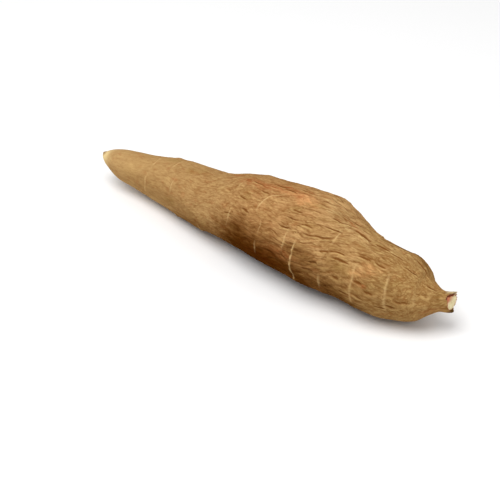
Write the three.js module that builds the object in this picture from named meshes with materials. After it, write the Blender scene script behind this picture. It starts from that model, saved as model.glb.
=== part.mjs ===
// A whole cassava root with its bark on, lying on its side as it rests on a table.
// It grew as one piece, so it is one solid: a tapered storage root with a blunt pointed tip,
// a swollen shoulder, a rounded lobe and the short neck by which it hung on the plant, cut across.
// Millimetres, +Z up. +X runs from the tip to the cut neck. The origin is the middle of the footprint.
// Angles go round the root in degrees: 0 is +Y, 90 is the top, 180 is -Y and 270 is underneath.
import * as THREE from 'three';
import { ImprovedNoise } from 'three/addons/math/ImprovedNoise.js';

// Driving dimensions
const LENGTH = 300;              // from the tip to the edge of the bark at the cut
const THICKEST_RADIUS = 32;      // at the shoulder
const REST_DEPTH = 0.5;          // how far the lowest bulges are pressed flat where the root rests

// The root's form, from the tip to the cut: how far along it each section is, how far its centre
// stands to the side (+Y) and above the table, and the section's radius as a share of the thickest.
const SECTIONS = [
  { along: 0, side: -3.8, height: 23.0, share: 0.035 },
  { along: 2, side: -4.0, height: 21.4, share: 0.08 },
  { along: 8, side: -2.2, height: 19.8, share: 0.23 },
  { along: 20, side: -1.1, height: 18.5, share: 0.36 },
  { along: 38, side: 1.4, height: 17.7, share: 0.44 },
  { along: 60, side: 2.4, height: 18.8, share: 0.555 },
  { along: 85, side: 0.4, height: 20.8, share: 0.65 },
  { along: 110, side: -2.8, height: 24.0, share: 0.7 },
  { along: 135, side: -2.2, height: 28.4, share: 0.84 },
  { along: 160, side: -4.5, height: 30.5, share: 0.915 },
  { along: 182, side: -4.4, height: 31.6, share: 0.965 },
  { along: 202, side: -4.9, height: 32.0, share: 1.0 },
  { along: 224, side: -5.3, height: 27.5, share: 0.855 },
  { along: 243, side: -7.4, height: 25.0, share: 0.775 },
  { along: 258, side: -6.5, height: 24.9, share: 0.75 },
  { along: 269, side: -3.5, height: 24.4, share: 0.71 },
  { along: 277, side: -4.2, height: 23.1, share: 0.6 },
  { along: 283, side: -5.5, height: 22.8, share: 0.43 },
  { along: 288, side: -4.4, height: 24.0, share: 0.33 },
  { along: 292, side: -2.2, height: 24.2, share: 0.25 },
  { along: 296, side: 1.4, height: 24.0, share: 0.195 },
  { along: 300, side: 2.4, height: 23.0, share: 0.22 },
];

// Sections aren't quite round: an oval and a three-sided swelling that turn slowly along the root.
const OVAL_SHARE = 0.022;
const OVAL_TURN = 140;
const THREE_SIDED_SHARE = 0.014;
const THREE_SIDED_TURN = 95;

// The bark's lengthwise wrinkles, which run a little askew, fine at the tip and coarse on the lobe.
const SWELLING = { depth: 0.7, width: 14, length: 46 };
const FURROW = { depth: 0.75, width: 5.2, length: 26, narrowness: 3.4 };
const WRINKLE_TWIST = 0.0035;    // radians for each millimetre along
const FINE_BARK_SHARE = 0.4;     // depth of the wrinkles at the tip, as a share of the lobe's
const FINE_BARK_LENGTH = 120;
const SMOOTH_END_LENGTH = 14;

// Thin raised scars, in parts of rings that go round the root. A ring leans: by its slant, it is
// further along on the side a quarter turn past the front than in front.
const FRONT_ANGLE = 140;
const SCAR = { height: 0.55, halfWidth: 1.5, endFade: 14 };
const SCAR_RINGS = [
  { along: 48, slant: 2, parts: [[92, 204], [250, 330]] },
  { along: 77, slant: 1, parts: [[126, 164], [205, 300]] },
  { along: 108, slant: -2, parts: [[-40, 66], [200, 262]] },
  { along: 141, slant: -5, parts: [[146, 176], [-70, 40]] },
  { along: 163, slant: -10, parts: [[96, 140], [232, 296]] },
  { along: 173, slant: -5, parts: [[134, 192], [-20, 60]] },
  { along: 193, slant: -9, parts: [[128, 176], [300, 372]] },
  { along: 204, slant: -9, parts: [[140, 214], [20, 70]] },
  { along: 222, slant: -4, parts: [[112, 146], [166, 222], [280, 345]] },
  { along: 241, slant: 2, parts: [[152, 202], [0, 66]] },
  { along: 266, slant: 5, parts: [[106, 190], [236, 322]] },
];

// The cut neck: the bark is torn to a ragged edge, with a flap above the flesh and one below it.
const RIM_RAGGEDNESS = 1.3;
const RIM_TEETH = 2.3;           // how closely the tears follow each other round the rim
const RIM_FLAP = 2.0;            // further reach of the two flaps
const RIND_THICKNESS = 1.5;
const FLESH_BELOW_RIM = 1.9;
const FLESH_CROWN = 1.3;         // the snapped flesh bulges in the middle
const FLESH_RING_SHARE = 0.6;    // size of the ring that rounds the bulge

// How finely the surface is divided.
const SIDES = 78;
const PLAIN_ROWS = 44;
const ROW_CROWDING = 0.72;       // crowds the rows towards both ends
const LEAST_ROW_STEP = 1.6;
const LAST_ROW_FROM_CUT = 5;

const { clamp, degToRad, euclideanModulo, lerp, mapLinear, radToDeg, smoothstep } = THREE.MathUtils;
const noise = new ImprovedNoise();

// A smooth curve through the sections' values of one kind, without overshoot.
function sectionValue(kind, along) {
  const last = SECTIONS.length - 2;
  const found = SECTIONS.findIndex((section) => section.along > along);
  const i = found < 0 ? last : clamp(found - 1, 0, last);
  const slope = (k) => {
    const a = SECTIONS[clamp(k, 0, last)];
    const b = SECTIONS[clamp(k, 0, last) + 1];
    return (b[kind] - a[kind]) / (b.along - a.along);
  };
  const tangent = (k) => {
    const before = slope(k - 1);
    const after = slope(k);
    return before * after <= 0 ? 0 : (2 * before * after) / (before + after);
  };
  const step = SECTIONS[i + 1].along - SECTIONS[i].along;
  const t = clamp((along - SECTIONS[i].along) / step, 0, 1);
  const start = SECTIONS[i][kind];
  const end = SECTIONS[i + 1][kind];
  return (
    start * (2 * t ** 3 - 3 * t ** 2 + 1) +
    end * (3 * t ** 2 - 2 * t ** 3) +
    tangent(i) * step * (t ** 3 - 2 * t ** 2 + t) +
    tangent(i + 1) * step * (t ** 3 - t ** 2)
  );
}

// The section's radius as a share of a round one.
function roundness(along, angle) {
  const oval = OVAL_SHARE * Math.cos(2 * angle + along / OVAL_TURN);
  const threeSided = THREE_SIDED_SHARE * Math.cos(3 * angle - along / THREE_SIDED_TURN);
  return 1 + oval + threeSided;
}

// Lengthwise wrinkles: broad soft backs with narrow furrows between them.
function wrinkles(along, angle) {
  const turned = angle + WRINKLE_TWIST * along;
  const radius = THICKEST_RADIUS * sectionValue('share', along);
  const grain = ({ width, length }) =>
    noise.noise((Math.cos(turned) * radius) / width, (Math.sin(turned) * radius) / width, along / length);
  const furrow = Math.max(1 - FURROW.narrowness * Math.abs(grain(FURROW)), 0);
  const relief = SWELLING.depth * grain(SWELLING) - FURROW.depth * furrow;
  const coarseness = lerp(FINE_BARK_SHARE, 1, smoothstep(along, 0, FINE_BARK_LENGTH));
  const awayFromTip = smoothstep(along, 0, SMOOTH_END_LENGTH);
  const awayFromCut = smoothstep(LENGTH - along, 0, SMOOTH_END_LENGTH);
  return relief * coarseness * awayFromTip * awayFromCut;
}

// The raised height of the scars, for a point on a row that leans as their rings do.
function scarHeight(row, angle) {
  let height = 0;
  for (const { along, parts } of SCAR_RINGS) {
    const nearness = Math.max(0, 1 - Math.abs(row - along) / SCAR.halfWidth);
    for (const [from, to] of parts) {
      const fromMiddle = euclideanModulo(radToDeg(angle) - (from + to) / 2 + 180, 360) - 180;
      const inside = (to - from) / 2 - Math.abs(fromMiddle);
      height += SCAR.height * nearness * clamp(inside / SCAR.endFade, 0, 1);
    }
  }
  return height;
}

// How much a row leans: as the nearest scar rings do, and not at all at the tip and the cut.
function slantAt(row) {
  const rings = [{ along: 0, slant: 0 }, ...SCAR_RINGS, { along: LENGTH, slant: 0 }];
  const next = Math.max(rings.findIndex(({ along }) => along >= row), 1);
  const [a, b] = [rings[next - 1], rings[next]];
  return mapLinear(row, a.along, b.along, a.slant, b.slant);
}

// A point of the bark.
function barkPoint(row, angle) {
  const along = row + slantAt(row) * Math.sin(angle - degToRad(FRONT_ANGLE));
  const round = THICKEST_RADIUS * sectionValue('share', along) * roundness(along, angle);
  return sectionPoint(along, angle, round + wrinkles(along, angle) + scarHeight(row, angle));
}

// A point at a radius from the centre of the section, pressed flat where the root rests.
function sectionPoint(along, angle, radius) {
  const y = sectionValue('side', along) + radius * Math.cos(angle);
  const z = sectionValue('height', along) + radius * Math.sin(angle) - REST_DEPTH;
  return new THREE.Vector3(along, y, Math.max(z, 0));
}

// How far the torn edge of the bark reaches short of the root's full length.
function rimRetreat(angle) {
  const tear = 0.5 + noise.noise(RIM_TEETH * Math.cos(angle), RIM_TEETH * Math.sin(angle), LENGTH);
  const besideFlaps = 1 - Math.abs(Math.sin(angle)) ** 3;
  return RIM_RAGGEDNESS * clamp(tear, 0, 1) + RIM_FLAP * besideFlaps;
}

// A point of the torn edge, inset by a part of the rind's thickness.
function rimPoint(inset, angle) {
  const radius = THICKEST_RADIUS * sectionValue('share', LENGTH) - inset;
  return sectionPoint(LENGTH - rimRetreat(angle), angle, radius);
}

// A point of the flesh inside the rind, at a share of its radius.
function fleshPoint(share, angle) {
  const radius = THICKEST_RADIUS * sectionValue('share', LENGTH) - RIND_THICKNESS;
  const crown = FLESH_CROWN * (1 - share ** 2);
  return sectionPoint(LENGTH - FLESH_BELOW_RIM + crown, angle, radius * share);
}

// Where the rows of points stand along the root: three on each scar ring and plain ones between.
function rowPositions() {
  const scarRows = SCAR_RINGS.flatMap(({ along }) => [-1, 0, 1].map((k) => along + k * SCAR.halfWidth));
  const plainRows = [];
  for (let i = 1; i <= PLAIN_ROWS; i++) {
    const t = i / PLAIN_ROWS;
    const crowded = t - (ROW_CROWDING * Math.sin(2 * Math.PI * t)) / (2 * Math.PI);
    const along = (LENGTH - LAST_ROW_FROM_CUT) * crowded;
    if (scarRows.every((row) => Math.abs(row - along) > LEAST_ROW_STEP)) plainRows.push(along);
  }
  return [...scarRows, ...plainRows].sort((a, b) => a - b);
}

// Every ring of points from the tip to the middle of the cut.
function surfaceRings() {
  const angles = Array.from({ length: SIDES }, (_, j) => (j / SIDES) * 2 * Math.PI);
  const ring = (pointAt) => angles.map(pointAt);
  return [
    ...rowPositions().map((row) => ring((angle) => barkPoint(row, angle))),
    ring((angle) => rimPoint(0, angle)),
    ring((angle) => rimPoint(RIND_THICKNESS / 2, angle)),
    ring((angle) => fleshPoint(1, angle)),
    ring((angle) => fleshPoint(FLESH_RING_SHARE, angle)),
  ];
}

// One closed skin: a fan at the tip, bands between the rings and a fan over the flesh.
function closedSkin(rings, tip, fleshMiddle) {
  const points = [tip, ...rings.flat(), fleshMiddle];
  const at = (row, side) => 1 + row * SIDES + (side % SIDES);
  const lastRow = rings.length - 1;
  const faces = [];
  for (let j = 0; j < SIDES; j++) {
    faces.push(0, at(0, j + 1), at(0, j));
    for (let i = 0; i < lastRow; i++) {
      faces.push(at(i, j), at(i, j + 1), at(i + 1, j + 1));
      faces.push(at(i, j), at(i + 1, j + 1), at(i + 1, j));
    }
    faces.push(at(lastRow, j), at(lastRow, j + 1), points.length - 1);
  }
  const geometry = new THREE.BufferGeometry().setFromPoints(points);
  geometry.setIndex(faces);
  return geometry;
}

// Puts the middle of the root's footprint at the origin.
function centreOnFootprint(geometry) {
  geometry.computeBoundingBox();
  const middle = geometry.boundingBox.getCenter(new THREE.Vector3());
  geometry.translate(-middle.x, -middle.y, -geometry.boundingBox.min.z);
  geometry.computeVertexNormals();
  return geometry;
}

const bark = new THREE.MeshStandardMaterial({ color: 0xb08553, roughness: 0.88, metalness: 0 });

const skin = closedSkin(surfaceRings(), sectionPoint(0, 0, 0), fleshPoint(0, 0));
const root = new THREE.Mesh(centreOnFootprint(skin), bark);
root.name = 'cassava_root';

const cassava = new THREE.Group();
cassava.add(root);

export default cassava;
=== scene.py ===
# A whole cassava root with its bark on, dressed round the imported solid.
# Lengths are in millimetres until a mesh is made, which turns them into metres. Angles go round
# the root in degrees: 0 is +Y, 90 is the top, 180 is -Y and 270 is underneath.
import itertools
import math

import bpy
import numpy as np
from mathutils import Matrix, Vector
from mathutils.bvhtree import BVHTree


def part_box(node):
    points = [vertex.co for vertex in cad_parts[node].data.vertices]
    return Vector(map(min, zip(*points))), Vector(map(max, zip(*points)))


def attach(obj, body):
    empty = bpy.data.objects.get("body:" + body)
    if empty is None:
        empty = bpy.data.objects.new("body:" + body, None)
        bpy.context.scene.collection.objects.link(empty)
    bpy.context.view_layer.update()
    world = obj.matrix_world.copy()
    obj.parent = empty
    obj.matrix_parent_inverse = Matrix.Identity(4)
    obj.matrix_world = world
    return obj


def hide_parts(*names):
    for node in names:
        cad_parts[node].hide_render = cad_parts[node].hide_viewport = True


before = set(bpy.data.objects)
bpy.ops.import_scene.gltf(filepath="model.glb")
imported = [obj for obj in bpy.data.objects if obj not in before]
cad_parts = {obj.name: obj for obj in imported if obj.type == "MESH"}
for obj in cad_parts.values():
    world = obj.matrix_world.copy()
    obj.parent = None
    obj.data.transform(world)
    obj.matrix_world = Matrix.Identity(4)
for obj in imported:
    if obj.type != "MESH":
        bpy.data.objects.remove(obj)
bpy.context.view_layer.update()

MM = 0.001
SEED = 11
NODE = "cassava_root"

# The solid's box, from which the root's own lengths follow.
LOW, HIGH = (np.array(corner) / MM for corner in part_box(NODE))
LENGTH = HIGH[0] - LOW[0]

# How finely the bark is divided: rows along the root and sides round it. The rows stand closer
# at the tip, at the scars and at the cut.
ROWS = 254
SIDES = 384
CROWDED_AT_SCARS = {"more": 3.0, "reach": 1.0}
CROWDED_AT_ENDS = {"more": 2.0, "reach": 4.0}

# The cut neck: bark with a torn edge and two flaps, and in it the flesh with its rind.
LAST_SOUND_SECTION = 6.0
TORN_LENGTH = 9.0
NECK_SLIMMING = 0.35
RIM_RAGGEDNESS = 1.1
RIM_FLAPS = [
    {"angle": 66, "half_width": 44, "reach": 0.6, "flare": 0.2, "curl": 0.0},
    {"angle": 254, "half_width": 44, "reach": 1.1, "flare": 1.3, "curl": 0.6},
]
NOTCH = {"angle": 122, "half_width": 34, "depth": 1.3}
PEELED = {"angle": 64, "half_width": 36, "length": 4.0}
PALE_EDGE = {"angle": 0, "half_width": 80}
NECK_OVAL = 0.85                 # how wide the cut is, as a share of its height
BARK_THICKNESS = 0.6
RIM_BELOW_END = 0.5
FLESH_BELOW_END = 1.1
FLESH_CROWN = 0.7
RIND_THICKNESS = 0.7
HOLLOW = {"angle": 78, "from": 0.56, "whole": 0.74, "depth": 1.1}
PINK_FLESH = {"angle": 128, "half_width": 60, "from": 0.15, "strength": 0.85}
FLESH_BACK = {"depth": 5.0, "share": 0.9}

# Thin raised scars, on leaning rings at the places they have on the solid: from and to which
# angle each one runs, and how strong it is.
FRONT_ANGLE = 140
SCAR_HEIGHT = 0.28
SCAR_HALF_WIDTH = 0.62
SCAR_END_FADE = 14
SCAR_RINGS = [
    {"along": 50, "slant": 0, "parts": [(78, 136, 0.8), (142, 204, 0.5), (250, 330, 0.5)]},
    {"along": 68, "slant": 0, "parts": [(66, 116, 0.75), (330, 390, 0.5)]},
    {"along": 77, "slant": 1, "parts": [(122, 168, 0.6), (205, 300, 0.5)]},
    {"along": 108, "slant": -2, "parts": [(-40, 66, 0.6), (200, 262, 0.6)]},
    {"along": 135, "slant": -4, "parts": [(97, 125, 0.5)]},
    {"along": 141, "slant": -5, "parts": [(146, 177, 1.0), (206, 270, 0.6), (-70, 40, 0.6)]},
    {"along": 170, "slant": -5, "parts": [(96, 141, 0.9), (139, 164, 0.6), (170, 198, 0.5), (232, 296, 0.7)]},
    {"along": 192, "slant": -3, "parts": [(136, 174, 0.7), (300, 372, 0.7)]},
    {"along": 201, "slant": -4, "parts": [(146, 220, 1.0), (20, 70, 0.6)]},
    {"along": 222, "slant": -4, "parts": [(104, 138, 0.75), (172, 208, 0.5), (280, 345, 0.6)]},
    {"along": 242, "slant": 3, "parts": [(126, 206, 0.45), (0, 66, 0.6)]},
    {"along": 264.5, "slant": 4, "parts": [(128, 200, 0.75), (236, 322, 0.7)]},
    {"along": 281, "slant": 3, "parts": [(128, 176, 0.3)]},
]
SCARS_BROADEN = {"from": 225, "to": 262, "more": 0.35}
SCAR_HOOK = {"along": 170, "length": 12, "angle": 122, "half_width": 17.5, "shift": -9}

# Slight lumps and hollows on the solid's shape, with how far each reaches along and round it.
LUMPS = [
    {"along": 200, "angle": 50, "length": 7, "width": 12, "height": 0.8},
    {"along": 212, "angle": 40, "length": 8, "width": 12, "height": -0.6},
    {"along": 234, "angle": 226, "length": 17, "width": 13, "height": -1.1},
    {"along": 273, "angle": 234, "length": 7, "width": 9, "height": -1.0},
    {"along": 284, "angle": 60, "length": 4, "width": 8, "height": 1.1},
    {"along": 59, "angle": 60, "length": 2.5, "width": 5, "height": 0.9},
]

# Places where the bark differs, and where shade and a dark line are painted on it: how far along and
# round the root each is, its half length along the root and its half width round it, and how strong it is.
RUBBED = [
    {"along": 190, "angle": 97, "length": 11, "width": 6, "strength": 0.8},
    {"along": 172, "angle": 97, "length": 16, "width": 3.5, "strength": 0.4},
    {"along": 198, "angle": 102, "length": 6, "width": 3, "strength": 0.5},
    {"along": 255, "angle": 132, "length": 8, "width": 4, "strength": 0.6},
    {"along": 249, "angle": 148, "length": 8, "width": 4, "strength": 0.5},
    {"along": 130, "angle": 300, "length": 14, "width": 6, "strength": 0.8},
    {"along": 215, "angle": 20, "length": 12, "width": 6, "strength": 0.8},
]
REDDENED = [
    {"along": 124, "angle": 85, "length": 6, "width": 2, "strength": 0.8},
    {"along": 148, "angle": 98, "length": 16, "width": 5, "strength": 0.8},
    {"along": 168, "angle": 91, "length": 14, "width": 4, "strength": 1.0},
    {"along": 182, "angle": 92, "length": 9, "width": 4.5, "strength": 0.9},
    {"along": 190, "angle": 82, "length": 9, "width": 2.5, "strength": 0.8},
    {"along": 189, "angle": 177, "length": 14, "width": 5, "strength": 0.8},
    {"along": 172, "angle": 198, "length": 18, "width": 7, "strength": 0.7},
    {"along": 224, "angle": 86, "length": 7, "width": 1.6, "strength": 0.9},
    {"along": 249, "angle": 160, "length": 5, "width": 1.6, "strength": 1.0},
    {"along": 116, "angle": 330, "length": 20, "width": 6, "strength": 0.6},
    {"along": 236, "angle": 300, "length": 14, "width": 5, "strength": 0.7},
    {"along": 87, "angle": 106, "length": 7, "width": 2, "strength": 0.35},
    {"along": 78, "angle": 134, "length": 4, "width": 2, "strength": 0.5},
    {"along": 292, "angle": 200, "length": 5, "width": 3, "strength": 0.6},
]
# Painted shade: the lower side and the underside are made darker and redder where shade falls under the root, most
# under its middle. The entry at 261 along is instead a thin dark line along the top of the lobe.
PAINTED_SHADE_AND_DARK_LINE = [
    {"along": 116, "angle": 242, "length": 50, "width": 26, "strength": 0.45},
    {"along": 160, "angle": 234, "length": 42, "width": 42, "strength": 1.0},
    {"along": 184, "angle": 236, "length": 44, "width": 42, "strength": 0.95},
    {"along": 214, "angle": 238, "length": 44, "width": 36, "strength": 0.72},
    {"along": 197, "angle": 171, "length": 10, "width": 9, "strength": 0.5},
    {"along": 205, "angle": 171, "length": 18, "width": 11, "strength": 0.45},
    {"along": 232, "angle": 163, "length": 13, "width": 9, "strength": 0.2},
    {"along": 252, "angle": 178, "length": 42, "width": 16, "strength": 0.12},
    {"along": 261, "angle": 59, "length": 21, "width": 3.5, "strength": 0.38},
    {"along": 60, "angle": 178, "length": 46, "width": 9, "strength": 0.15},
    {"along": 150, "angle": 285, "length": 70, "width": 24, "strength": 0.5},
]
BLEACHED = [
    {"along": 222, "angle": 92, "length": 22, "width": 11, "strength": 0.65},
    {"along": 205, "angle": 80, "length": 22, "width": 7, "strength": 0.6},
    {"along": 262, "angle": 88, "length": 18, "width": 6, "strength": 0.5},
    {"along": 180, "angle": 340, "length": 26, "width": 9, "strength": 0.6},
]

# The plainest cracks, each by its middle, its half length along the grain and its half width.
GASHES = [
    {"along": 138, "angle": 156, "half_length": 4, "half_width": 0.5},
    {"along": 146, "angle": 128, "half_length": 4, "half_width": 0.5},
    {"along": 153, "angle": 142, "half_length": 4, "half_width": 0.5},
    {"along": 148, "angle": 98, "half_length": 5, "half_width": 0.6},
    {"along": 159, "angle": 109, "half_length": 4, "half_width": 0.6},
    {"along": 164, "angle": 88, "half_length": 7, "half_width": 0.9},
    {"along": 173, "angle": 91, "half_length": 5, "half_width": 0.7},
    {"along": 182, "angle": 82, "half_length": 4, "half_width": 0.6},
    {"along": 191, "angle": 119, "half_length": 5, "half_width": 0.5},
    {"along": 189, "angle": 143, "half_length": 5, "half_width": 0.5},
    {"along": 190, "angle": 130, "half_length": 4, "half_width": 0.5},
    {"along": 203, "angle": 130, "half_length": 5, "half_width": 0.5},
    {"along": 212, "angle": 135, "half_length": 9, "half_width": 0.6},
    {"along": 218, "angle": 114, "half_length": 6, "half_width": 0.6},
    {"along": 219, "angle": 96, "half_length": 6, "half_width": 0.6},
    {"along": 212, "angle": 178, "half_length": 4, "half_width": 0.6},
    {"along": 215, "angle": 164, "half_length": 3, "half_width": 0.5},
    {"along": 228, "angle": 133, "half_length": 6, "half_width": 0.5},
    {"along": 232, "angle": 141, "half_length": 6, "half_width": 0.7},
    {"along": 234, "angle": 87, "half_length": 7, "half_width": 0.8},
    {"along": 219, "angle": 84, "half_length": 5, "half_width": 0.5},
    {"along": 250, "angle": 88, "half_length": 6, "half_width": 0.75},
    {"along": 246, "angle": 118, "half_length": 5, "half_width": 0.5},
    {"along": 248, "angle": 157, "half_length": 4, "half_width": 0.6},
    {"along": 220, "angle": 144, "half_length": 3.5, "half_width": 0.5},
    {"along": 232, "angle": 167, "half_length": 3.5, "half_width": 0.5},
    {"along": 224, "angle": 193, "half_length": 4, "half_width": 0.5},
    {"along": 238, "angle": 184, "half_length": 4, "half_width": 0.5},
    {"along": 250, "angle": 179, "half_length": 3.5, "half_width": 0.45},
    {"along": 256, "angle": 167, "half_length": 3.5, "half_width": 0.45},
    {"along": 264, "angle": 190, "half_length": 3.5, "half_width": 0.5},
    {"along": 255, "angle": 65, "half_length": 6, "half_width": 0.6},
    {"along": 257, "angle": 121, "half_length": 4, "half_width": 0.45},
    {"along": 262, "angle": 95, "half_length": 5, "half_width": 0.5},
    {"along": 270, "angle": 184, "half_length": 4, "half_width": 0.45},
    {"along": 275, "angle": 104, "half_length": 4, "half_width": 0.4},
    {"along": 277, "angle": 166, "half_length": 5, "half_width": 0.28},
    {"along": 277, "angle": 73, "half_length": 6, "half_width": 0.65},
    {"along": 288, "angle": 97, "half_length": 3, "half_width": 0.45},
]
GASH_DEPTH = 0.35
# The raised lip beside each gash is also painted paler, as a painted highlight.
GASH_LIP = {"height": 0.2, "from_crack": 1.0, "half_width": 0.5}

# The bark's relief. It is divided into plates with cracks along their sides. Some plates are
# smooth pads, and the others are broken into scales. A width and a length are the size across and
# along, and an edge is how far from a plate's side its surface has fallen to the crack.
PLATES = {"width": 4.2, "length": 13, "rise": 0.5, "edge": 0.75, "from": 120, "full_from": 205}
PLATES_FADE = {"from": 244, "to": 276, "share": 0.6}
SCALES = {"width": 1.8, "length": 4.8, "rise": 0.2, "edge": 0.45, "from": -30, "full_from": 90}
CRACK = {"depth": 0.22, "least_half_width": 0.24, "more": 0.3}
PLATE_CRACK_SHARE = 0.8          # how dark the cracks between plates are
SCALE_CRACK_SHARE = 0.4          # how dark the cracks between scales are
HALO = 2.6                       # half widths of a crack that its darker banks reach
# The raised lip along the lower side of a plate crack is also painted paler, as a painted highlight.
LIP = {"height": 0.16, "from_crack": 0.8, "half_width": 0.45}
WOBBLE = {"width": 2.4, "length": 4.5, "reach": 0.7, "least": 0.35}
SWELLING = {"width": 8.0, "length": 24.0, "height": 0.3}

# How the grain strays from the root's length: small wavers, long swings, and turns round the root
# between set places along it. A turn is whole near its angle and fades away on both sides of that.
WAVER = {"width": 9.0, "length": 12.0, "reach": 1.3}
SWING = {"width": 26.0, "length": 46.0, "reach": 2.0}
GRAIN_TURNS = [
    {"from": 146, "to": 194, "angle": 142, "whole": 25, "none": 110, "turn": 5},
    {"from": 194, "to": 240, "angle": 142, "whole": 14, "none": 90, "turn": -7},
    {"from": 200, "to": 246, "angle": 75, "whole": 60, "none": 150, "turn": -29},
    {"from": 244, "to": 268, "angle": 140, "whole": 30, "none": 110, "turn": 8},
    {"from": 266, "to": 284, "angle": 140, "whole": 20, "none": 90, "turn": -9},
]
GRAIN_TWIST = 0.0035             # radians for each millimetre along
FINE_BARK_SHARE = 0.2
FINE_BARK_LENGTH = 195
WAXY_TIP = {"angle": 165, "half_width": 100, "length": 13}
TIP_SPOT = {"angle": 100, "half_width": 60, "reach": 1.6}
SMOOTH_TIP_LENGTH = 22
SMOOTH_NECK_LENGTH = 40


def smoothstep(low, high, value):
    t = np.clip((value - low) / (high - low), 0, 1)
    return t * t * (3 - 2 * t)


def turn_between(angle, middle):
    """The turn from middle to angle in degrees, from -180 to 180."""
    return (angle - middle + 180) % 360 - 180


class Lattice:
    """Gives every unit cube of space one of a fixed number of keys, the same on each run."""

    KEYS = 256

    def __init__(self, seed):
        self.draw = np.random.default_rng(SEED * 1000 + seed)
        self.order = self.draw.permutation(self.KEYS)

    def key(self, cube):
        x, y, z = (cube[..., k] % self.KEYS for k in range(3))
        return self.order[(self.order[(self.order[x] + y) % self.KEYS] + z) % self.KEYS]


class Cells(Lattice):
    """Cells round points scattered in space, one to a unit cube."""

    CUBES = np.array(list(itertools.product((-1, 0, 1), repeat=3)))

    def __init__(self, seed):
        super().__init__(seed)
        self.middles = self.draw.random((self.KEYS, 3))
        self.tones = self.draw.uniform(-1, 1, self.KEYS)

    def __call__(self, points):
        """The way from each point to the nearest middle and to the next, and the nearest's tone."""
        cubes = np.floor(points).astype(int)[..., None, :] + self.CUBES
        keys = self.key(cubes)
        ways = cubes + self.middles[keys] - points[..., None, :]
        nearest = np.argsort((ways**2).sum(-1), axis=-1)[..., :2]
        tones = np.take_along_axis(self.tones[keys], nearest, axis=-1)[..., 0]
        ways = np.take_along_axis(ways, nearest[..., None], axis=-2)
        return ways[..., 0, :], ways[..., 1, :], tones


class GradientNoise(Lattice):
    """Smooth noise from about -1 to 1."""

    CORNERS = np.array(list(itertools.product((0, 1), repeat=3)))

    def __init__(self, seed):
        super().__init__(seed)
        gradients = self.draw.normal(size=(self.KEYS, 3))
        self.gradients = gradients / np.linalg.norm(gradients, axis=1, keepdims=True)

    def __call__(self, points):
        cell = np.floor(points).astype(int)
        inside = points - cell
        fade = inside**3 * (inside * (inside * 6 - 15) + 10)
        total = np.zeros(points.shape[:-1])
        for corner in self.CORNERS:
            gradient = self.gradients[self.key(cell + corner)]
            weight = np.prod(np.where(corner, fade, 1 - fade), axis=-1)
            total += weight * ((inside - corner) * gradient).sum(-1)
        return total * 1.6


def along_grain(grain, width, length):
    """The bark's own coordinates in cells of a size, for noise that follows the grain."""
    return grain / np.array([length, width, width])


class Form:
    """The root's own shape, read from the solid: its centre line and its radius all round."""

    STATION_STEP = 2.0
    FROM_TIP = 0.8

    def __init__(self, node):
        mesh = node.data
        corners = [v.co / MM for v in mesh.vertices]
        self.tree = BVHTree.FromPolygons(corners, [tuple(p.vertices) for p in mesh.polygons])
        self.tip = np.array(min(corners, key=lambda corner: corner.x))
        last = LENGTH - LAST_SOUND_SECTION
        self.stations = np.append(np.arange(self.FROM_TIP, last, self.STATION_STEP), last)
        self.centres = self.find_centres()

    def reach(self, origin, direction):
        found = self.tree.ray_cast(Vector(origin), Vector(direction))
        return np.nan if found[3] is None else found[3]

    def find_centres(self):
        centres = []
        side, height = self.tip[1], self.tip[2]
        for along in self.stations:
            for _ in range(3):
                origin = (LOW[0] + along, side, height)
                side += (self.reach(origin, (0, 1, 0)) - self.reach(origin, (0, -1, 0))) / 2
                height += (self.reach(origin, (0, 0, 1)) - self.reach(origin, (0, 0, -1))) / 2
            centres.append((side, height))
        return np.array(centres)

    def centre(self, along):
        """The centre line's side and height. Beyond the last sound section it runs straight on."""
        beyond = np.maximum(along - self.stations[-1], 0)
        step = self.stations[-1] - self.stations[-3]
        slope = (self.centres[-1] - self.centres[-3]) / step
        held = np.stack([np.interp(along, self.stations, self.centres[:, k]) for k in range(2)], -1)
        return held + beyond[..., None] * slope

    def radius(self, along, angle):
        """How far the bark is from the centre line at each place."""
        sound = np.clip(along, self.FROM_TIP, self.stations[-1])
        centre = self.centre(sound)
        found = np.empty(along.shape)
        for place in np.ndindex(*along.shape):
            origin = (LOW[0] + sound[place], *centre[place])
            found[place] = self.reach(origin, (0, math.cos(angle[place]), math.sin(angle[place])))
        return found * np.clip(along / self.FROM_TIP, 0, 1)


def soften(field, along_rows, round_sides):
    """Blurs a grid of values: its rows by one spread and its sides, which close up, by another."""

    def kernel(spread):
        reach = max(int(3 * spread), 1)
        weights = np.exp(-0.5 * (np.arange(-reach, reach + 1) / spread) ** 2)
        return reach, weights / weights.sum()

    reach, weights = kernel(along_rows)
    padded = np.pad(field, ((reach, reach), (0, 0)), mode="reflect", reflect_type="odd")
    rows = sum(w * padded[k : k + len(field)] for k, w in enumerate(weights))
    reach, weights = kernel(round_sides)
    return sum(w * np.roll(rows, reach - k, axis=1) for k, w in enumerate(weights))


def slant_at(row):
    """How much a row leans: as the nearest scar rings do, and not at all at the tip and the cut."""
    places = [0, *(ring["along"] for ring in SCAR_RINGS), LENGTH]
    slants = [0, *(ring["slant"] for ring in SCAR_RINGS), 0]
    return np.interp(row, places, slants)


def hook_at(row, angle):
    """How far the rows near one scar are moved at its bent end."""
    ahead = (row - SCAR_HOOK["along"]) / SCAR_HOOK["length"]
    off = turn_between(np.degrees(angle), SCAR_HOOK["angle"]) / SCAR_HOOK["half_width"]
    return SCAR_HOOK["shift"] * np.exp(-(ahead**2) - off**4)


def flap_share(flap, angle):
    """How far a place on the rim belongs to a flap, from 0 beside it to 1 at its middle."""
    off = np.abs(turn_between(np.degrees(angle), flap["angle"])) / flap["half_width"]
    return 1 - smoothstep(0.35, 1.0, off)


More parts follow.
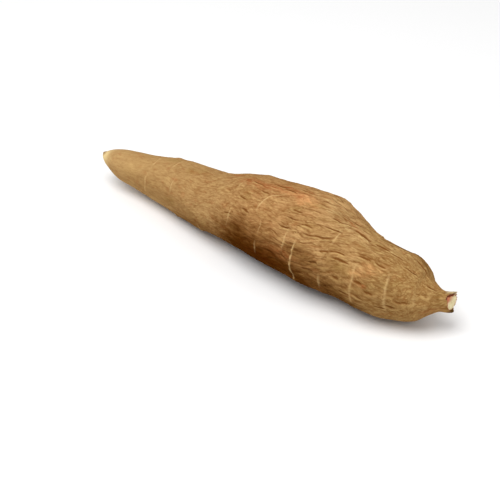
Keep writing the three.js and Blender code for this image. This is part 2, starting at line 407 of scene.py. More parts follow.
def rim_at(angle, tears):
    """How far along the root the torn edge of the bark is."""
    rim = np.full(angle.shape, LENGTH - RIM_BELOW_END)
    for flap in RIM_FLAPS:
        rim += flap["reach"] * flap_share(flap, angle)
    rim -= NOTCH["depth"] * flap_share(NOTCH, angle)
    for cells, share in ((3.1, 0.6), (9.0, 0.4)):
        ring = np.stack([cells * np.cos(angle), cells * np.sin(angle), 0 * angle + cells], -1)
        rim -= RIM_RAGGEDNESS * share * np.clip(0.6 + tears(ring), 0, 1.4)
    return rim


def row_places(form):
    """Where the rows stand, how far over the surface that is, and the root's radius there."""
    fine = np.linspace(0, LENGTH, 1501)
    ring = np.meshgrid(fine[::5], np.linspace(0, 2 * math.pi, 24, endpoint=False), indexing="ij")
    radius = np.interp(fine, fine[::5], form.radius(*ring).mean(1))
    steps = np.hypot(np.diff(fine), np.diff(radius))
    walked = np.concatenate([[0], np.cumsum(steps)])
    crowding = np.ones(len(steps))
    for ring in SCAR_RINGS:
        off = (fine[1:] - ring["along"]) / CROWDED_AT_SCARS["reach"]
        crowding += CROWDED_AT_SCARS["more"] * np.exp(-(off**2))
    for end in (0, LENGTH):
        off = (fine[1:] - end) / CROWDED_AT_ENDS["reach"]
        crowding += CROWDED_AT_ENDS["more"] * np.exp(-(off**2))
    counted = np.concatenate([[0], np.cumsum(steps * crowding)])
    rows = np.interp(np.linspace(0, counted[-1], ROWS + 1)[1:], counted, fine)
    for ring in SCAR_RINGS:
        rows[np.argmin(np.abs(rows - ring["along"]))] = ring["along"]
    return rows, np.interp(rows, fine, walked), np.interp(rows, fine, radius)


class Bark:
    """The bark's grid of points, with its relief and the places where its colour changes.

    The grid leans with the scars and wavers with the grain, so that both run along its lines.
    """

    def __init__(self, form):
        self.rows, walked, radius = row_places(form)
        self.row, side = np.meshgrid(
            self.rows, np.linspace(0, 2 * math.pi, SIDES, endpoint=False), indexing="ij"
        )
        self.side = side
        lean = slant_at(self.row) * np.sin(side - math.radians(FRONT_ANGLE))
        self.along = np.clip(self.row + lean + hook_at(self.row, side), 0, LENGTH)
        self.girth = np.interp(self.along, self.rows, soften(radius[:, None], 4, 1)[:, 0])
        surface_along = np.interp(self.along, self.rows, walked)
        turned = side + GRAIN_TWIST * self.along
        self.grain = np.stack(
            [surface_along, self.girth * np.cos(turned), self.girth * np.sin(turned)], -1
        )
        self.round_way = np.stack([-np.sin(turned), np.cos(turned)], -1)
        wobbles = [self.noise(seed, WOBBLE["width"], WOBBLE["length"]) for seed in (15, 16, 17)]
        calm = WOBBLE["least"] + (1 - WOBBLE["least"]) * smoothstep(100, 190, self.along)
        self.wobble = WOBBLE["reach"] * calm[..., None] * np.stack(wobbles, -1)
        self.angle = side + self.turning(side) + self.straying() / np.maximum(self.girth, 3)
        self.shape_neck()
        self.base = self.smooth_base(form)
        self.normals = self.find_normals(self.base)
        self.find_masks()
        self.points = self.base + self.normals * self.relief()[..., None]
        self.points[..., 2] = np.maximum(self.points[..., 2], 0)

    def noise(self, seed, width, length):
        return GradientNoise(seed)(along_grain(self.grain, width, length))

    def straying(self):
        """How far round the root, in millimetres, small wavers and swings move the grain."""
        shift = WAVER["reach"] * self.noise(10, WAVER["width"], WAVER["length"])
        shift += SWING["reach"] * self.noise(9, SWING["width"], SWING["length"])
        fading = smoothstep(4, 30, self.along) * (1 - smoothstep(LENGTH - 24, LENGTH - 6, self.along))
        return shift * fading

    def turning(self, side):
        """How far round the root, in radians, the grain has turned by each place."""
        total = np.zeros(side.shape)
        for turn in GRAIN_TURNS:
            off = np.abs(turn_between(np.degrees(side), turn["angle"]))
            share = 1 - smoothstep(turn["whole"], turn["none"], off)
            total += math.radians(turn["turn"]) * share * smoothstep(turn["from"], turn["to"], self.along)
        return total

    def shape_neck(self):
        """Brings the last rows to the torn rim."""
        rim = rim_at(self.angle, GradientNoise(20))
        start = LENGTH - TORN_LENGTH
        share = np.clip((self.along - start) / TORN_LENGTH, 0, 1)
        self.along = np.where(share > 0, start + share * (rim - start), self.along)

    def smooth_base(self, form):
        radius = soften(form.radius(self.along, self.angle), 1.5, 3.0)
        for lump in LUMPS:
            across = np.radians(turn_between(np.degrees(self.angle), lump["angle"])) * self.girth
            off = ((self.along - lump["along"]) / lump["length"])**2 + (across / lump["width"])**2
            radius += lump["height"] * np.exp(-off)
        radius -= NECK_SLIMMING * smoothstep(LENGTH - 12, LENGTH - 5, self.along)
        for flap in RIM_FLAPS:
            flare = flap["flare"] * smoothstep(LENGTH - 7, LENGTH - 0.5, self.along)
            curl = flap["curl"] * smoothstep(LENGTH, LENGTH + flap["reach"], self.along)
            radius += (flare - curl) * flap_share(flap, self.angle)
        centre = form.centre(self.along)
        oval = 1 - (1 - NECK_OVAL) * smoothstep(LENGTH - 9, LENGTH - 1, self.along)
        return np.stack(
            [
                LOW[0] + self.along,
                centre[..., 0] + oval * radius * np.cos(self.angle),
                centre[..., 1] + radius * np.sin(self.angle),
            ],
            -1,
        )

    @staticmethod
    def find_normals(points):
        lengthwise = np.gradient(points, axis=0)
        around = np.roll(points, -1, axis=1) - np.roll(points, 1, axis=1)
        normals = np.cross(around, lengthwise)
        return normals / np.maximum(np.linalg.norm(normals, axis=-1, keepdims=True), 1e-9)

    def spots(self, places, seed, unevenness=1.0, softness=0.5):
        """How strongly each point belongs to the patches listed, with uneven edges."""
        uneven = unevenness * (0.45 * self.noise(seed, 5, 9) + 0.35 * self.noise(seed + 1, 1.6, 5))
        mask = np.zeros(self.along.shape)
        for place in places:
            across = np.radians(turn_between(np.degrees(self.angle), place["angle"])) * self.girth
            distance = np.hypot((self.along - place["along"]) / place["length"], across / place["width"])
            inside = 1 - smoothstep(0.85 - softness, 0.85 + softness, distance + uneven)
            mask = np.maximum(mask, place["strength"] * inside)
        return mask

    def find_scars(self):
        wander = 0.8 * self.noise(30, 8, 200) + 0.35 * self.noise(33, 2.5, 200)
        patchy = np.clip(0.85 + 0.8 * self.noise(31, 3.5, 200), 0.15, 1)
        width = SCAR_HALF_WIDTH * np.clip(1 + 0.5 * self.noise(34, 4, 200), 0.5, 1.5)
        broader = smoothstep(SCARS_BROADEN["from"], SCARS_BROADEN["to"], self.along)
        width *= 1 + SCARS_BROADEN["more"] * broader
        scars = np.zeros(self.along.shape)
        for ring in SCAR_RINGS:
            near = np.clip(1.25 - np.abs(self.row - ring["along"] + wander) / width, 0, 1)
            for start, end, strength in ring["parts"]:
                off = np.abs(turn_between(np.degrees(self.angle), (start + end) / 2))
                inside = np.clip(((end - start) / 2 - off) / SCAR_END_FADE, 0, 1)
                scars = np.maximum(scars, strength * near * inside * patchy)
        return scars

    def find_masks(self):
        self.rubbed = self.spots(RUBBED, 40)
        self.reddened = self.spots(REDDENED, 50)
        self.painted_shade_and_dark_line = self.spots(PAINTED_SHADE_AND_DARK_LINE, 55, unevenness=0.25, softness=0.32)
        self.bleached = self.spots(BLEACHED, 57)
        self.scars = self.find_scars()
        off = np.abs(turn_between(np.degrees(self.angle), WAXY_TIP["angle"])) / WAXY_TIP["half_width"]
        self.tip = 1 - smoothstep(2, WAXY_TIP["length"], self.along + 2 * self.noise(32, 3, 6))
        self.tip *= 1 - 0.75 * smoothstep(0.4, 1, off)
        spot_end = self.along + self.noise(39, 2, 2) - TIP_SPOT["reach"] * flap_share(TIP_SPOT, self.angle)
        self.tip_spot = 0.7 * (1 - smoothstep(1.4, 3.6, spot_end))
        self.torn = smoothstep(LENGTH - 1.2, LENGTH, self.along + 0.8 * self.noise(35, 2, 2))
        off = np.abs(turn_between(np.degrees(self.angle), PEELED["angle"])) / PEELED["half_width"]
        self.peeled = 1 - smoothstep(0.6, 1.0, off + 0.3 * self.noise(36, 1.5, 3))
        start = LENGTH - PEELED["length"]
        self.peeled *= smoothstep(start - 1, start + 1, self.along + self.noise(37, 1.5, 3))
        self.flap_dark = flap_share(RIM_FLAPS[1], self.angle) * smoothstep(LENGTH - 2.5, LENGTH, self.along)
        coarse = FINE_BARK_SHARE + (1 - FINE_BARK_SHARE) * smoothstep(20, FINE_BARK_LENGTH, self.along)
        away_from_tip = smoothstep(0, SMOOTH_TIP_LENGTH, self.along)
        near_neck = 1 - 0.15 * smoothstep(LENGTH - SMOOTH_NECK_LENGTH, LENGTH - 8, self.along)
        self.coarseness = coarse * away_from_tip * near_neck

    def find_gashes(self):
        """How open the plainest cracks are and how high their lower lips. Each follows the grain."""
        opening, lips = np.zeros(self.along.shape), np.zeros(self.along.shape)
        wander = 0.5 * self.noise(38, 3, 5)
        for gash in GASHES:
            round_way = np.radians(turn_between(np.degrees(self.angle), gash["angle"])) * self.girth
            nearest = np.argmin(np.hypot(self.along - gash["along"], round_way))
            turned = turn_between(np.degrees(self.side), np.degrees(self.side.flat[nearest]))
            across = np.radians(turned) * self.girth + wander
            narrowing = 1 - ((self.along - gash["along"]) / gash["half_length"]) ** 2
            half_width = gash["half_width"] * np.sqrt(np.maximum(narrowing, 0.01))
            inside = smoothstep(0, 0.3, narrowing)
            open_share = 1 - smoothstep(0.5, 1.5, np.abs(across) / half_width)
            opening = np.maximum(opening, inside * open_share)
            highlit_lip = np.exp(-(((across - GASH_LIP["from_crack"]) / GASH_LIP["half_width"]) ** 2))
            lips = np.maximum(lips, inside * highlit_lip)
        return opening, lips

    def divide(self, kind, seed):
        """Divides the bark into cells of a kind. Gives how far each point is from its cell's side,
        how open the crack there is, how far that side is a lower one, and the cell's own tone."""
        size = np.array([kind["length"], kind["width"], kind["width"]])
        first, second, tone = Cells(seed)((self.grain + self.wobble) / size)
        outwards = (second - first) / size
        around = (outwards[..., 1:] * self.round_way).sum(-1)
        steepness = np.hypot(outwards[..., 0], around)
        distance = ((second**2).sum(-1) - (first**2).sum(-1)) / 2 / np.maximum(steepness, 1e-3)
        open_share = smoothstep(0.78, 0.97, np.abs(around) / np.maximum(steepness, 1e-6))
        open_share *= smoothstep(-0.5, 0.15, self.noise(seed + 60, kind["width"], kind["length"]))
        lower = np.sign(around) * -np.cos(self.angle)
        return distance, open_share, lower, tone

    def relief(self):
        """The bark's height over the smooth root."""
        calm = 1 - 0.45 * self.rubbed
        wide = smoothstep(-0.2, 0.5, self.noise(62, 3, 6))
        half_width = CRACK["least_half_width"] + CRACK["more"] * wide
        height = SWELLING["height"] * self.noise(12, SWELLING["width"], SWELLING["length"])

        distance, open_share, lower, tone = self.divide(PLATES, 1)
        share = smoothstep(PLATES["from"], PLATES["full_from"], self.along) * calm
        share *= 1 - PLATES_FADE["share"] * smoothstep(PLATES_FADE["from"], PLATES_FADE["to"], self.along)
        pad = smoothstep(-0.5, 0.4, tone)
        middle = 1 - np.exp(-((distance / PLATES["edge"]) ** 2))
        groove = share * open_share * np.exp(-((distance / half_width) ** 2))
        highlit_lip = np.exp(-(((distance - LIP["from_crack"]) / LIP["half_width"]) ** 2))
        highlit_lip *= share * open_share * np.maximum(-lower, 0)
        height += share * PLATES["rise"] * (0.35 + 0.65 * pad) * middle
        height += LIP["height"] * highlit_lip - CRACK["depth"] * groove
        self.pad = share * pad * middle
        self.tone = share * tone * middle
        self.furrow = PLATE_CRACK_SHARE * groove
        self.halo = share * open_share * np.exp(-((distance / half_width / HALO) ** 2))
        self.highlit_lip = highlit_lip

        distance, open_share, lower, tone = self.divide(SCALES, 2)
        share = smoothstep(SCALES["from"], SCALES["full_from"], self.along) * calm * (1 - 0.75 * self.pad)
        middle = 1 - np.exp(-((distance / SCALES["edge"]) ** 2))
        groove = share * open_share * np.exp(-((distance / half_width) ** 2))
        height += share * SCALES["rise"] * (0.5 + 0.5 * tone) * middle - 0.3 * CRACK["depth"] * groove
        self.scale_tone = share * tone * middle
        self.furrow = np.maximum(self.furrow, SCALE_CRACK_SHARE * groove)
        self.furrow *= (1 - self.scars) * self.coarseness**0.5
        opening, lips = self.find_gashes()
        self.furrow = np.maximum(self.furrow, opening)
        self.highlit_lip = np.maximum(self.highlit_lip, lips)
        height += GASH_LIP["height"] * lips - GASH_DEPTH * opening
        return height * self.coarseness + SCAR_HEIGHT * self.scars


def grid_faces(rows, sides, start=0):
    """Four-cornered faces of a grid that closes up round its sides, facing outwards."""
    i, j = np.meshgrid(np.arange(rows - 1), np.arange(sides), indexing="ij")
    right = (j + 1) % sides
    corners = [i * sides + j, i * sides + right, (i + 1) * sides + right, (i + 1) * sides + j]
    return (np.stack([corner.ravel() for corner in corners], -1) + start).tolist()


def make_piece(name, points, faces, material, values, grain):
    """A smooth-shaded mesh object that rides on the root, from points in millimetres."""
    mesh = bpy.data.meshes.new(name)
    mesh.from_pydata((np.asarray(points) * MM).tolist(), [], faces)
    mesh.polygons.foreach_set("use_smooth", [True] * len(mesh.polygons))
    for key, field in values.items():
        attribute = mesh.attributes.new(key, "FLOAT", "POINT")
        attribute.data.foreach_set("value", np.asarray(field, np.float32).ravel())
    attribute = mesh.attributes.new("grain", "FLOAT_VECTOR", "POINT")
    attribute.data.foreach_set("vector", np.asarray(grain, np.float32).ravel())
    mesh.materials.append(material)
    piece = bpy.data.objects.new(name, mesh)
    bpy.context.scene.collection.objects.link(piece)
    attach(piece, "root")
    return piece


def add_map(mesh, places):
    """A map for baking, from each point's share of the way along and of the turn round."""
    layer = mesh.uv_layers.new(name="OFBake")
    corner_points = np.empty(len(mesh.loops), int)
    mesh.loops.foreach_get("vertex_index", corner_points)
    uv = places[corner_points]
    for polygon in mesh.polygons:
        face = uv[polygon.loop_start : polygon.loop_start + polygon.loop_total]
        if face[:, 1].max() - face[:, 1].min() > 0.5:
            face[:, 1] += face[:, 1] < 0.5
    layer.data.foreach_set("uv", (0.01 + 0.97 * uv).ravel())


class Shader:
    """A Principled material with short ways to add the nodes that a natural surface needs."""

    def __init__(self, name, roughness):
        self.material = bpy.data.materials.new(name)
        self.material.use_nodes = True
        self.tree = self.material.node_tree
        self.surface = self.tree.nodes["Principled BSDF"]
        self.surface.inputs["Roughness"].default_value = roughness
        grain = self.tree.nodes.new("ShaderNodeAttribute")
        grain.attribute_name = "grain"
        self.grain = grain.outputs["Vector"]

    def feed(self, socket, value):
        if isinstance(value, bpy.types.NodeSocket):
            self.tree.links.new(value, socket)
        else:
            socket.default_value = value

    def value_of(self, name):
        attribute = self.tree.nodes.new("ShaderNodeAttribute")
        attribute.attribute_name = name
        return attribute.outputs["Fac"]

    def noise(self, width, length, detail=2.0, offset=0.0):
        """Noise drawn out along the grain, by its width across and its length in millimetres."""
        mapping = self.tree.nodes.new("ShaderNodeMapping")
        self.feed(mapping.inputs["Vector"], self.grain)
        mapping.inputs["Scale"].default_value = (1 / length, 1 / width, 1 / width)
        mapping.inputs["Location"].default_value = (offset, offset, offset)
        made = self.tree.nodes.new("ShaderNodeTexNoise")
        self.feed(made.inputs["Vector"], mapping.outputs["Vector"])
        made.inputs["Scale"].default_value = 1.0
        made.inputs["Detail"].default_value = detail
        return made.outputs["Fac"]

    def math(self, operation, a, b=0.0):
        made = self.tree.nodes.new("ShaderNodeMath")
        made.operation = operation
        self.feed(made.inputs[0], a)
        self.feed(made.inputs[1], b)
        return made.outputs["Value"]

    def spread(self, value, low, high, to_low=0.0, to_high=1.0):
        """A value's stretch from low to high, spread over another range and held at its ends."""
        made = self.tree.nodes.new("ShaderNodeMapRange")
        made.interpolation_type = "SMOOTHSTEP"
        names = ("Value", "From Min", "From Max", "To Min", "To Max")
        for name, given in zip(names, (value, low, high, to_low, to_high)):
            self.feed(made.inputs[name], given)
        return made.outputs["Result"]

    def lines(self, width, length, offset):
        """Thin wavy lines along the grain, where noise crosses its middle."""
        off_middle = self.math("SUBTRACT", self.noise(width, length, detail=1, offset=offset), 0.5)
        return self.spread(self.math("ABSOLUTE", off_middle), 0.075, 0.02)

    def ramp(self, value, stops):
        made = self.tree.nodes.new("ShaderNodeValToRGB")
        self.feed(made.inputs["Fac"], value)
        elements = made.color_ramp.elements
        while len(elements) < len(stops):
            elements.new(0.5)
        for element, (place, colour) in zip(elements, stops):
            element.position = place
            element.color = (*colour, 1)
        return made.outputs["Color"]

    def blend(self, share, a, b, mode="MIX"):
        made = self.tree.nodes.new("ShaderNodeMix")
        made.data_type = "RGBA"
        made.blend_type = mode
        made.clamp_factor = True
        self.feed(made.inputs["Factor"], share)
        for socket, value in ((made.inputs[6], a), (made.inputs[7], b)):
            self.feed(socket, value if isinstance(value, bpy.types.NodeSocket) else (*value, 1))
        return made.outputs[2]

    def bump(self, height, distance, strength):
        made = self.tree.nodes.new("ShaderNodeBump")
        self.feed(made.inputs["Height"], height)
        made.inputs["Strength"].default_value = strength
        made.inputs["Distance"].default_value = distance * MM
        return made.outputs["Normal"]


# Colours are linear.
BARK_ALONG = [
    (0.0, (0.42, 0.26, 0.11)),
    (0.12, (0.39, 0.235, 0.093)),
    (0.40, (0.367, 0.213, 0.085)),
    (0.56, (0.385, 0.203, 0.079)),
    (0.72, (0.41, 0.236, 0.096)),
    (0.86, (0.342, 0.208, 0.077)),
    (1.0, (0.37, 0.218, 0.078)),
]
PALE_TAN = (0.56, 0.37, 0.15)
PAD_TAN = (0.50, 0.29, 0.125)
DULL_OLIVE = (0.29, 0.18, 0.055)
BROWN = (0.18, 0.07, 0.015)
DARK_BROWN = (0.15, 0.052, 0.010)
# The tint that the painted shade multiplies the bark by.
SHADED = (0.46, 0.34, 0.18)
BLEACHED_TAN = (0.62, 0.44, 0.20)
TORN_BROWN = (0.38, 0.18, 0.08)
PEELED_CREAM = (0.45, 0.36, 0.21)
EDGE_PINK = (0.60, 0.42, 0.27)
FLAP_BROWN = (0.10, 0.055, 0.015)
RED_BROWN = (0.30, 0.075, 0.02)
RUBBED_PINK = (0.62, 0.30, 0.12)
SCAR_PALE = (0.62, 0.42, 0.19)
TIP_PALE = (0.76, 0.60, 0.30)
CREAM = (0.78, 0.69, 0.43)
CREAM_DEEP = (0.62, 0.50, 0.26)
RIND_PINK = (0.45, 0.155, 0.08)
RIND_DARK = (0.14, 0.03, 0.008)


def bark_material():
    shader = Shader("bark", roughness=0.85)
    colour = shader.ramp(shader.value_of("along"), BARK_ALONG)
    patches = shader.noise(14, 26, detail=3)
    streaks = shader.noise(1.8, 7, detail=3, offset=3)
    fibres = shader.noise(1.0, 3.2, detail=2, offset=7)
    dashes = shader.noise(0.9, 4.2, detail=1.5, offset=12)
    stains = shader.noise(3.5, 7, detail=2, offset=21)
    pad, tone, scale_tone = (shader.value_of(name) for name in ("pad", "tone", "scale_tone"))
    colour = shader.blend(shader.spread(patches, 0.42, 0.3, 0, 0.5), colour, DULL_OLIVE)
    colour = shader.blend(shader.spread(patches, 0.55, 0.75, 0, 0.4), colour, PALE_TAN)
    coarse = shader.spread(shader.value_of("coarseness"), 0, 0.85, 0.18, 0.9)
    colour = shader.blend(shader.spread(pad, 0.2, 0.9, 0, 0.3), colour, PAD_TAN)
    colour = shader.blend(shader.spread(tone, -0.1, -0.8, 0, 0.25), colour, DULL_OLIVE)
    colour = shader.blend(shader.spread(scale_tone, 0.1, 0.9, 0, 0.25), colour, PALE_TAN)
    colour = shader.blend(shader.spread(scale_tone, -0.1, -0.9, 0, 0.25), colour, BROWN)
    colour = shader.blend(shader.spread(streaks, 0.52, 0.72, 0, 0.25), colour, PALE_TAN)
    colour = shader.blend(shader.spread(streaks, 0.46, 0.3, 0, 0.25), colour, BROWN)
    colour = shader.blend(shader.spread(stains, 0.55, 0.7, 0, 0.2), colour, RED_BROWN)
    rough = shader.math("MULTIPLY", shader.spread(pad, 0, 1, 0.4, 0.15), coarse)
    colour = shader.blend(shader.math("MULTIPLY", shader.spread(fibres, 0.46, 0.3), rough), colour, BROWN)
    colour = shader.blend(shader.math("MULTIPLY", shader.spread(fibres, 0.54, 0.7), rough), colour, PALE_TAN)
    colour = shader.blend(shader.math("MULTIPLY", shader.value_of("halo"), 0.3), colour, BROWN)
    reddened = shader.math("MULTIPLY", shader.value_of("reddened"), shader.spread(streaks, 0.3, 0.55, 1, 0.4))
    colour = shader.blend(shader.math("MULTIPLY", reddened, 0.9), colour, RED_BROWN)
    rubbed = shader.math("MULTIPLY", shader.value_of("rubbed"), shader.spread(streaks, 0.4, 0.58, 0.35, 1))
    colour = shader.blend(shader.math("MULTIPLY", rubbed, 0.8), colour, RUBBED_PINK)
    flecks = shader.math("MULTIPLY", shader.spread(streaks, 0.48, 0.62, 0.25, 1), shader.value_of("bleached"))
    colour = shader.blend(shader.math("MULTIPLY", flecks, 0.55), colour, BLEACHED_TAN)
    dash = shader.math("MULTIPLY", shader.spread(dashes, 0.42, 0.34), coarse)
    colour = shader.blend(shader.math("MULTIPLY", dash, 0.26), colour, BROWN)
    long_lines = shader.math("MULTIPLY", shader.lines(2.2, 12, offset=31), shader.spread(stains, 0.4, 0.55))
    near_neck = shader.spread(shader.value_of("along"), 0.78, 0.88, 0.5, 1)
    short_lines = shader.math("MULTIPLY", shader.lines(1.6, 7, offset=44), near_neck)
    fine_crack = shader.math("MULTIPLY", shader.math("MAXIMUM", long_lines, short_lines), coarse)
    colour = shader.blend(shader.math("MULTIPLY", fine_crack, 0.55), colour, BROWN)
    # Painted highlight: the raised lips beside the cracks are made paler, as where light catches them.
    colour = shader.blend(shader.math("MULTIPLY", shader.value_of("highlit_lip"), 0.4), colour, PALE_TAN)
    colour = shader.blend(shader.math("MULTIPLY", shader.value_of("furrow"), 0.95), colour, DARK_BROWN)
    # Painted shade, laid on twice: darker and redder under the root, and the dark line on the lobe.
    for _ in range(2):
        colour = shader.blend(shader.value_of("painted_shade_and_dark_line"), colour, SHADED, "MULTIPLY")
    colour = shader.blend(shader.math("MULTIPLY", shader.value_of("tip"), 0.85), colour, TIP_PALE)
    colour = shader.blend(shader.value_of("tip_spot"), colour, BROWN)
    colour = shader.blend(shader.math("MULTIPLY", shader.value_of("scar"), 0.7), colour, SCAR_PALE)
    colour = shader.blend(shader.value_of("torn"), colour, TORN_BROWN)
    colour = shader.blend(shader.value_of("peeled"), colour, PEELED_CREAM)
    colour = shader.blend(shader.value_of("flap_dark"), colour, FLAP_BROWN)
    colour = shader.blend(shader.value_of("inner"), colour, RIND_DARK)
    colour = shader.blend(shader.value_of("pale_edge"), colour, EDGE_PINK)
    shader.feed(shader.surface.inputs["Base Color"], colour)
    shader.surface.inputs["Specular IOR Level"].default_value = 0.0
    dents = shader.math("ADD", shader.math("MULTIPLY", dash, 0.9), shader.math("MULTIPLY", fine_crack, 0.9))
    grooves = shader.math("SUBTRACT", fibres, dents)
    shader.feed(shader.surface.inputs["Normal"], shader.bump(shader.math("MULTIPLY", grooves, coarse), 0.25, 0.55))
    shader.feed(shader.surface.inputs["Roughness"], shader.spread(streaks, 0.3, 0.7, 0.9, 0.72))
    return shader.material


def cut_material(name):
    """The wet cut, for the flesh and the rind alike: where each is pink or dark is on its points."""
    shader = Shader(name, roughness=0.5)
    cloud = shader.noise(1.5, 1.5, detail=3)
    colour = shader.ramp(cloud, [(0.3, CREAM_DEEP), (0.7, CREAM)])
    colour = shader.blend(shader.value_of("pink"), colour, RIND_PINK)
    colour = shader.blend(shader.value_of("hollow"), colour, RIND_DARK)
    shader.feed(shader.surface.inputs["Base Color"], colour)
    shader.surface.inputs["Specular IOR Level"].default_value = 0.05
    shader.feed(shader.surface.inputs["Normal"], shader.bump(cloud, 0.5, 0.7))
    return shader.material


def make_bark(form, material):
    """The whole bark: a tip point, the grid, the thin torn edge and its dark inner side."""
    bark = Bark(form)
    rim = bark.points[-1]
    inward = rim.mean(0) - rim
    inward /= np.linalg.norm(inward, axis=1, keepdims=True)
    edge = rim + BARK_THICKNESS * inward
    inside = rim + 4 * BARK_THICKNESS * inward - [4, 0, 0]
    points = np.concatenate([form.tip[None, :], bark.points.reshape(-1, 3), edge, inside])
    faces = [(0, 1 + (j + 1) % SIDES, 1 + j) for j in range(SIDES)]
    faces += grid_faces(ROWS + 2, SIDES, start=1)

    def with_ends(field, at_tip=0.0, at_edge=0.0, inside=0.0):
        return np.concatenate(
            [[at_tip], field.ravel(), np.full(SIDES, at_edge), np.full(SIDES, inside)]
        )

    top_flap, low_flap = (flap_share(flap, bark.angle[-1]) for flap in RIM_FLAPS)
    pale_edge = flap_share(PALE_EDGE, bark.angle[-1]) * (1 - low_flap)
    values = {
        "along": with_ends(bark.along / LENGTH, 0, 1, 1),
        "furrow": with_ends(bark.furrow),
        "pad": with_ends(bark.pad * bark.coarseness),
        "tone": with_ends(bark.tone * bark.coarseness),
        "scale_tone": with_ends(bark.scale_tone * bark.coarseness),
        "highlit_lip": with_ends(bark.highlit_lip * bark.coarseness),
        "halo": with_ends(bark.halo * bark.coarseness),
        "scar": with_ends(bark.scars),
        "rubbed": with_ends(bark.rubbed),
        "reddened": with_ends(bark.reddened),
        "painted_shade_and_dark_line": with_ends(bark.painted_shade_and_dark_line),
        "bleached": with_ends(bark.bleached),
        "tip": with_ends(bark.tip, 1),
        "tip_spot": with_ends(bark.tip_spot, 1),
        "coarseness": with_ends(bark.coarseness),
        "torn": with_ends(bark.torn, 0, 1),
        "peeled": with_ends(bark.peeled, 0, top_flap),
        "flap_dark": with_ends(bark.flap_dark, 0, low_flap, low_flap),
        "inner": with_ends(0 * bark.along, 0, 0, (1 - low_flap) * (1 - pale_edge)),
        "pale_edge": with_ends(0 * bark.along, 0, pale_edge, pale_edge),
    }
    grain = np.concatenate([bark.grain[0, :1], bark.grain.reshape(-1, 3), np.tile(bark.grain[-1], (2, 1))])
    piece = make_piece("root_bark", points, faces, material, values, grain)
    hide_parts(NODE)
    share = np.concatenate([bark.rows / LENGTH * 0.97, [0.985, 1.0]])
    places = np.stack(np.meshgrid(share, np.arange(SIDES) / SIDES, indexing="ij"), -1).reshape(-1, 2)
    add_map(piece.data, np.concatenate([[[0, 0.5]], places]))
    return piece


def make_cut(form, flesh, rind):
    """The snapped flesh and the rind round it, a little below the torn edge of the bark."""
    sides, rings = 128, 30
    last = LENGTH - LAST_SOUND_SECTION
    start = form.centre(np.array([last]))[0]
    slope = (form.centre(np.array([LENGTH]))[0] - start) / LAST_SOUND_SECTION
    around = np.linspace(0, 2 * math.pi, 24, endpoint=False)[None]
    outer = form.radius(np.full(around.shape, last), around).mean() - NECK_SLIMMING - BARK_THICKNESS
    share, angle = np.meshgrid(
        np.linspace(1, 0, rings, endpoint=False), np.linspace(0, 2 * math.pi, sides, endpoint=False),
        indexing="ij",
    )
    disc = outer * share[..., None] * np.stack([NECK_OVAL * np.cos(angle), np.sin(angle)], -1)
    flat = np.concatenate([disc, 0 * disc[..., :1]], -1)
    lumps = 0.3 * GradientNoise(70)(flat / 2.2) + 0.1 * GradientNoise(71)(flat / 0.7)
    uneven_share = share + 0.15 * GradientNoise(72)(flat / 1.5)
    upwards = uneven_share * np.cos(angle - math.radians(HOLLOW["angle"]))
    hollow = smoothstep(HOLLOW["from"], HOLLOW["whole"], upwards)
    near_rim = smoothstep(1 - RIND_THICKNESS / outer, 1 - 0.6 * RIND_THICKNESS / outer, share)
    along = LENGTH - FLESH_BELOW_END + FLESH_CROWN * (1 - share**2) + lumps - HOLLOW["depth"] * hollow
    centre = start + slope * (along - last)[..., None]
    front = np.concatenate([LOW[0] + along[..., None], centre + disc], -1)
    middle = front[0].mean(0)
    back = middle + FLESH_BACK["share"] * (front[0] - middle) - [FLESH_BACK["depth"], 0, 0]
    points = np.concatenate([back[None], front])
    off = np.abs(turn_between(np.degrees(angle), PINK_FLESH["angle"])) / PINK_FLESH["half_width"]
    side_pink = (1 - smoothstep(0.2, 1.0, off)) * smoothstep(PINK_FLESH["from"], 1, uneven_share)
    side_pink *= PINK_FLESH["strength"]
    pink = np.maximum.reduce([near_rim, smoothstep(0.05, 0.4, hollow), side_pink])
    pink = np.concatenate([np.ones((1, sides)), pink])
    dark = np.concatenate([np.zeros((1, sides)), 0.9 * smoothstep(0.3, 0.8, hollow)])

    shared_row = 1 + round(rings * RIND_THICKNESS / outer)
    outside = points[: shared_row + 1].reshape(-1, 3)
    values = {"pink": pink[: shared_row + 1], "hollow": dark[: shared_row + 1]}
    make_piece("neck_rind", outside, grid_faces(shared_row + 1, sides), rind, values, outside)

    inside = np.concatenate([points[shared_row:].reshape(-1, 3), front[-1].mean(0, keepdims=True)])
    rows = rings + 1 - shared_row
    base = (rows - 1) * sides
    fan = [(base + j, base + (j + 1) % sides, len(inside) - 1) for j in range(sides)]
    values = {name: np.append(field[shared_row:].ravel(), 0) for name, field in (("pink", pink), ("hollow", dark))}
    make_piece("neck_flesh", inside, grid_faces(rows, sides) + fan, flesh, values, inside)


def add_floor():
    bpy.ops.mesh.primitive_plane_add(size=40, location=(0, 0, -0.0002))
    floor = bpy.context.object
    floor.name = "floor"
    material = bpy.data.materials.new("floor")
    material.use_nodes = True
    surface = material.node_tree.nodes["Principled BSDF"]
    surface.inputs["Base Color"].default_value = (0.84, 0.84, 0.84, 1)
    surface.inputs["Roughness"].default_value = 0.9
    surface.inputs["Specular IOR Level"].default_value = 0.1
    floor.data.materials.append(material)


def aim(obj, target):
    obj.rotation_euler = (Vector(target) - obj.location).to_track_quat("-Z", "Y").to_euler()


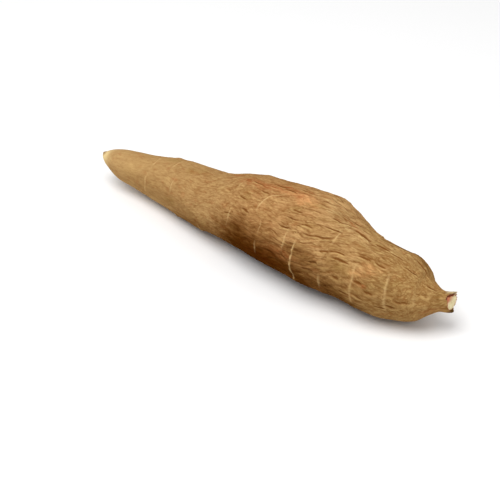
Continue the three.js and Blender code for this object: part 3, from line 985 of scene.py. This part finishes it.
def add_light(name, location, size, energy):
    light = bpy.data.lights.new(name, "AREA")
    light.shape = "DISK"
    light.size = size
    light.energy = energy
    lamp = bpy.data.objects.new(name, light)
    lamp.location = location
    aim(lamp, (0, 0, 0.02))
    bpy.context.scene.collection.objects.link(lamp)


def add_lights():
    add_light("key", (-0.05, -0.5, 1.2), 1.1, 15.5)
    add_light("fill", (0.85, 0.15, 0.6), 0.8, 1.5)
    world = bpy.data.worlds.new("studio")
    bpy.context.scene.world = world
    world.use_nodes = True
    background = world.node_tree.nodes["Background"]
    background.inputs["Color"].default_value = (1, 1, 1, 1)
    background.inputs["Strength"].default_value = 0.6
    view = bpy.context.scene.view_settings
    view.view_transform = "Standard"
    view.look = "None"
    view.exposure = 0


# The camera looks as the photograph's does: turned from +Y and raised above the table, at a
# distance and scale measured from the root's outline in the 500 x 500 frame.
CAMERA_AZIMUTH = math.radians(40)
CAMERA_ELEVATION = math.radians(34)
CAMERA_DISTANCE = 1250
PIXELS_PER_MM = 1.47
FRAME_PIXELS = 500
AIM_RIGHT, AIM_UP = -8.65, 2.47
SENSOR_WIDTH = 36


def add_camera():
    across = np.array([math.cos(CAMERA_AZIMUTH), math.sin(CAMERA_AZIMUTH), 0])
    back = np.array([
        math.sin(CAMERA_AZIMUTH) * math.cos(CAMERA_ELEVATION),
        -math.cos(CAMERA_AZIMUTH) * math.cos(CAMERA_ELEVATION),
        math.sin(CAMERA_ELEVATION),
    ])
    target = AIM_RIGHT * across + AIM_UP * np.cross(back, across)
    data = bpy.data.cameras.new("camera")
    data.sensor_width = SENSOR_WIDTH
    data.lens = SENSOR_WIDTH * PIXELS_PER_MM * CAMERA_DISTANCE / FRAME_PIXELS
    camera = bpy.data.objects.new("camera", data)
    camera.location = Vector((target + CAMERA_DISTANCE * back) * MM)
    aim(camera, target * MM)
    bpy.context.scene.collection.objects.link(camera)
    bpy.context.scene.camera = camera


add_camera()
root_form = Form(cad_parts[NODE])
make_bark(root_form, bark_material())
make_cut(root_form, cut_material("flesh"), cut_material("rind"))
add_floor()
add_lights()
